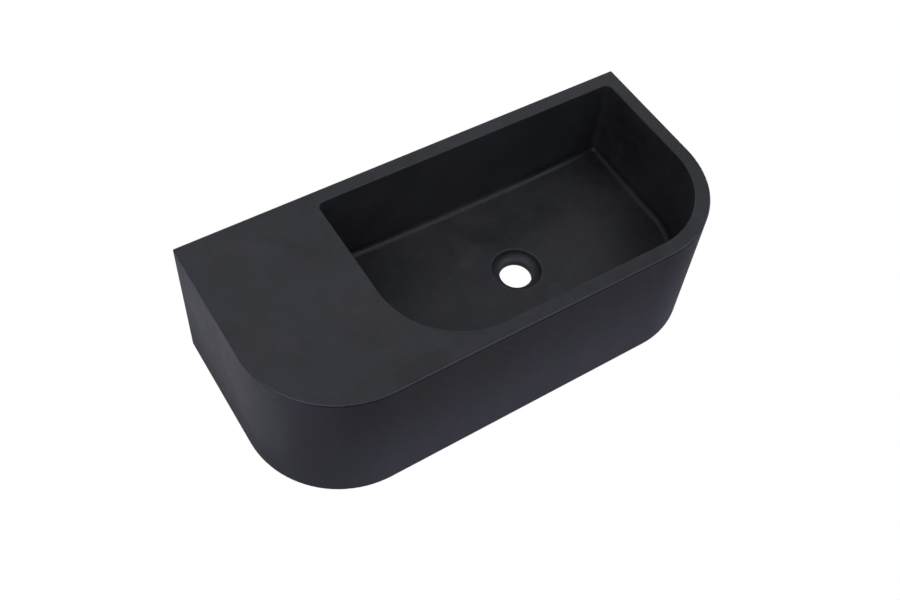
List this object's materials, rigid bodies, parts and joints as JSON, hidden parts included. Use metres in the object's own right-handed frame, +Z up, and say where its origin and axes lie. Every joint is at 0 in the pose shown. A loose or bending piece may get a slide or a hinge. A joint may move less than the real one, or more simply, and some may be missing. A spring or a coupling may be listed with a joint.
{
  "type": "wall-hung wash basin",
  "caption": "Wall-hung wash basin: a black cast bowl with a side shelf and a dished waste seat, carried on concealed steel brackets.",
  "frame": {"origin": "middle of the footprint at the height of the casting's bottom edge", "axes": "+X to the right along the front as a user faces it, +Y towards the wall, +Z up"},
  "size_m": [0.65, 0.3, 0.2],
  "materials": {
    "black_casting": "satin",
    "coated_steel": "satin",
    "insert_brass": "satin",
    "pad_rubber": "matte",
    "zinc_steel": "satin"
  },
  "bodies": {
    "root": {"basin_casting": "black_casting", "bracket_left": "coated_steel", "bracket_right": "coated_steel", "insert_front_left": "insert_brass", "insert_front_right": "insert_brass", "insert_rear_left": "insert_brass", "insert_rear_right": "insert_brass", "pad_front_left": "pad_rubber", "pad_front_right": "pad_rubber", "pad_rear_left": "pad_rubber", "pad_rear_right": "pad_rubber", "washer_front_left": "zinc_steel", "washer_front_right": "zinc_steel", "washer_rear_left": "zinc_steel", "washer_rear_right": "zinc_steel", "bolt_front_left": "zinc_steel", "bolt_front_right": "zinc_steel", "bolt_rear_left": "zinc_steel", "bolt_rear_right": "zinc_steel"}
  },
  "joints": []
}
